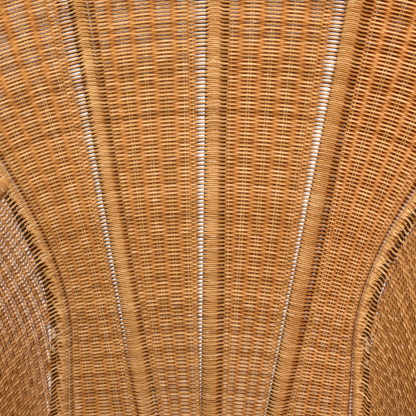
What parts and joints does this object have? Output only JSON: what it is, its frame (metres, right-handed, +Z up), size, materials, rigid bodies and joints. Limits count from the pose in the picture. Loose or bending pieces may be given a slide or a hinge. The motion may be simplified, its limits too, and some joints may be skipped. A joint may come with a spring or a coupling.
{
  "type": "peacock chair",
  "caption": "High-backed rattan peacock chair: a flared fan back and side wings of dense wicker weave over a pole frame, on a pinched woven base.",
  "frame": {"origin": "on the floor under the middle of the chair's outline", "axes": "+Z up, the sitter faces -Y, +X to the right of a viewer who faces the chair's front"},
  "size_m": [1.026, 0.6462, 1.5027],
  "materials": {
    "rattan_pole": "natural rattan pole, wound with round strand, satin",
    "rattan_core": "bare rattan pole, matt",
    "wicker_weave": "natural round rattan strand, plain weave over paired stakes"
  },
  "bodies": {
    "root": {"seat_hoop": "rattan_pole", "floor_hoop": "rattan_pole", "fan_rim": "rattan_pole", "fan_rib_left_outer": "rattan_pole", "fan_rib_left_inner": "rattan_pole", "fan_rib_center": "rattan_pole", "fan_rib_right_inner": "rattan_pole", "fan_rib_right_outer": "rattan_pole", "arm_rail_left": "rattan_pole", "arm_rail_right": "rattan_pole", "base_rib_right": "rattan_core", "base_rib_rear_right": "rattan_core", "base_rib_rear": "rattan_core", "base_rib_rear_left": "rattan_core", "base_rib_left": "rattan_core", "base_rib_front_left": "rattan_core", "base_rib_front": "rattan_core", "base_rib_front_right": "rattan_core", "base_waist_hoop": "rattan_core", "seat_bar_front": "rattan_core", "seat_bar_mid_front": "rattan_core", "seat_bar_mid_rear": "rattan_core", "seat_bar_rear": "rattan_core", "back_panel_left_outer": "wicker_weave", "back_panel_left_inner": "wicker_weave", "back_panel_right_inner": "wicker_weave", "back_panel_right_outer": "wicker_weave", "wing_left": "wicker_weave", "wing_right": "wicker_weave", "skirt_right_to_rear_right": "wicker_weave", "skirt_rear_right_to_rear": "wicker_weave", "skirt_rear_to_rear_left": "wicker_weave", "skirt_rear_left_to_left": "wicker_weave", "skirt_left_to_front_left": "wicker_weave", "skirt_front_left_to_front": "wicker_weave", "skirt_front_to_front_right": "wicker_weave", "skirt_front_right_to_right": "wicker_weave", "seat_deck": "wicker_weave"}
  },
  "joints": []
}
